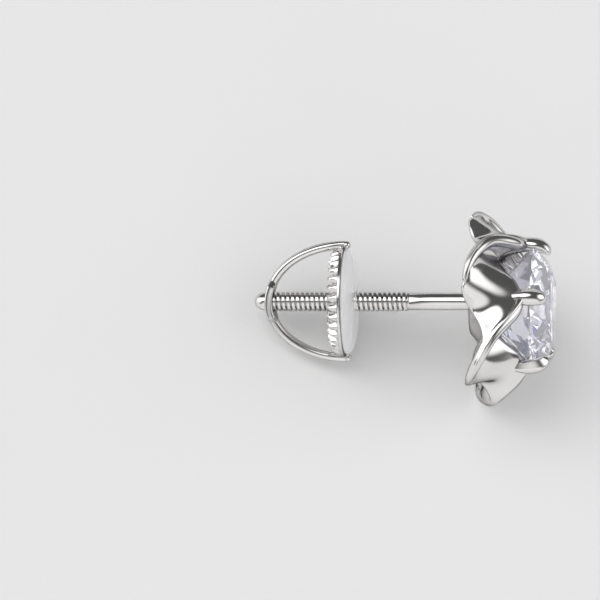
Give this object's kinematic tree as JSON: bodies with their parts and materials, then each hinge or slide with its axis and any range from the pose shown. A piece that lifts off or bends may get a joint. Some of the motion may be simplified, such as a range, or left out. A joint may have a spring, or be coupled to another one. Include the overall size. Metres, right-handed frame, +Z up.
{
  "type": "flower stud earring with screw back",
  "caption": "Stud earring: a flower of swirled petals round a claw-set round brilliant, on a threaded post with a screw back and a clear pad.",
  "frame": {"origin": "middle of the base of the bounding box, on the surface that the earring lies on", "axes": "+X is level and towards the flower's face, +Y is level and +Z is up; the post leans up towards the face by about 16 degrees"},
  "size_m": [0.0156, 0.0102, 0.0095],
  "materials": {
    "silver": "polished, rhodium-plated sterling silver",
    "stone": "clear faceted brilliant",
    "silicone": "clear soft silicone"
  },
  "bodies": {
    "stud": {"flower_setting": "silver", "centre_stone": "stone"},
    "pad": {"clear_pad": "silicone"},
    "back": {"screw_back": "silver"}
  },
  "joints": [
    {"name": "back_travel", "type": "slide", "parent": "stud", "child": "pad", "axis": [0.963, 0, 0.2696], "range_m": [-0.003, 0.0032]},
    {"name": "back_turn", "type": "hinge", "parent": "pad", "child": "back", "pos_m": [-0.00322, 0.00026, 0.00281], "axis": [0.963, 0, 0.2696], "range_deg": [-4321, 4609]}
  ],
  "couplings": [
    {"joint": "back_turn", "follows": "back_travel", "rad_per_m": 25133}
  ]
}
